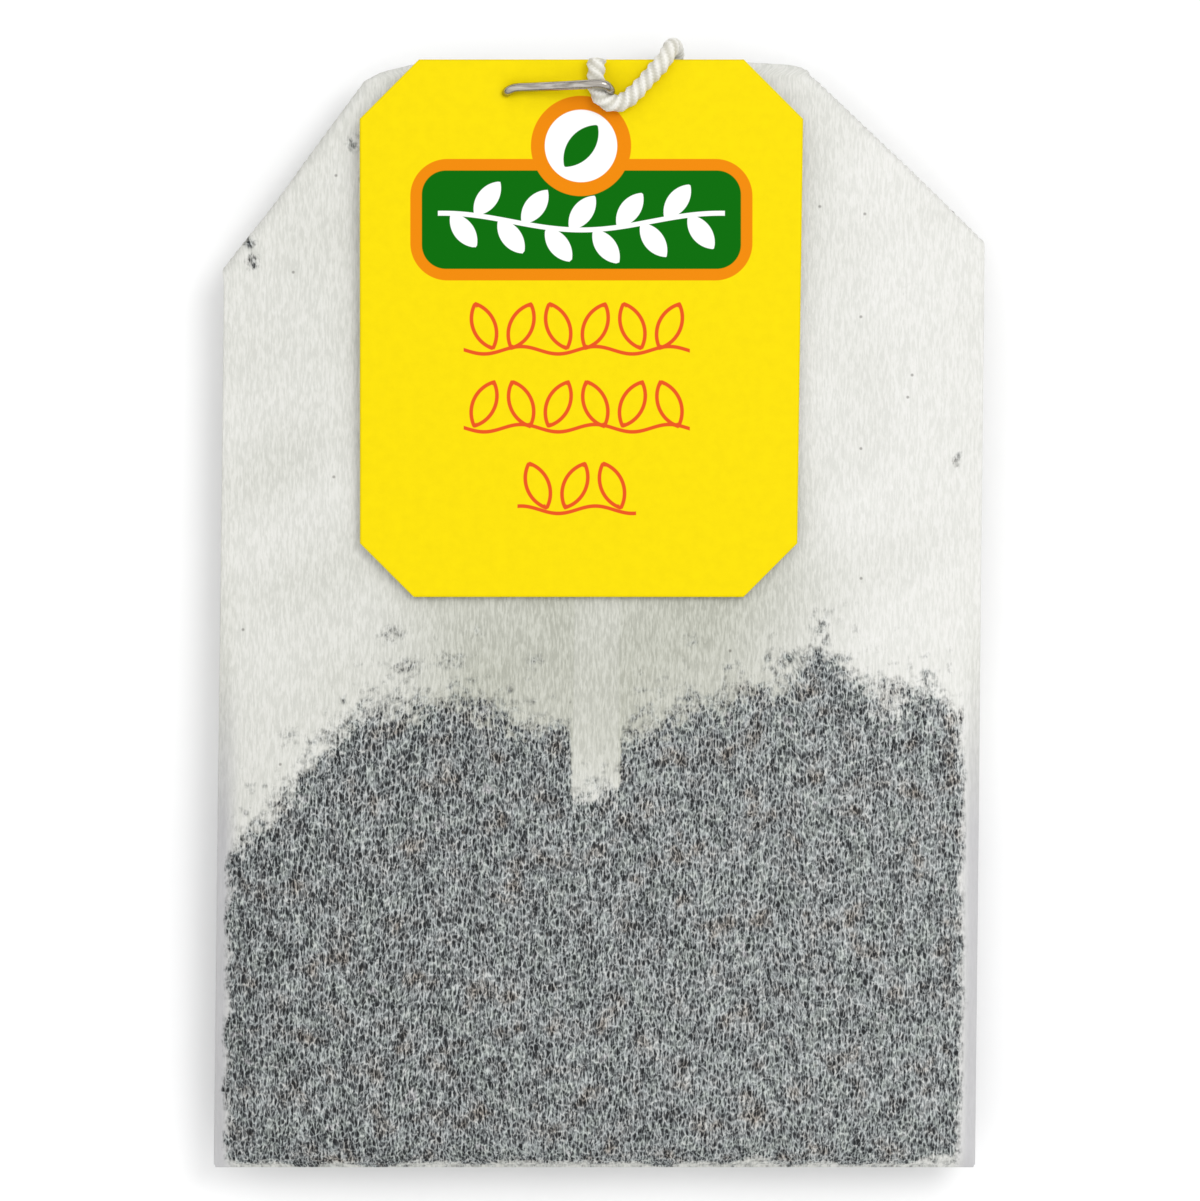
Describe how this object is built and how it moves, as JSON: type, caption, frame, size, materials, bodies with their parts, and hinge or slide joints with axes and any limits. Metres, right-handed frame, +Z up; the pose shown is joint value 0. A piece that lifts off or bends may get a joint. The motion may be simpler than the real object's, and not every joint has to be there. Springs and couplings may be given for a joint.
{
  "type": "tea bag",
  "caption": "Folded filter-paper tea bag with two filled chambers, shouldered head, card tag, coiled cotton thread and wire staples.",
  "frame": {"origin": "on the surface that the bag lies on, under the middle of the folded paper's outline", "axes": "+X across the bag to the right as seen from the front, +Y up the bag towards its folded head, +Z up out of its front face"},
  "size_m": [0.041, 0.0611, 0.0059],
  "materials": {
    "filter_paper": "unbleached-white porous abaca filter paper, matt and slightly see-through",
    "tea": "broken black tea leaf, dry and matt",
    "card": "coated card, printed yellow with a green and orange panel",
    "wire": "drawn aluminium wire, bright",
    "thread": "twisted white cotton"
  },
  "bodies": {
    "root": {"filter_paper": "filter_paper", "tea_front_chamber": "tea", "tea_back_chamber": "tea", "bag_staple": "wire", "tag": "card", "tag_staple": "wire", "thread_bag_end": "thread", "thread_coil": "thread", "thread_tag_end": "thread"}
  },
  "joints": []
}
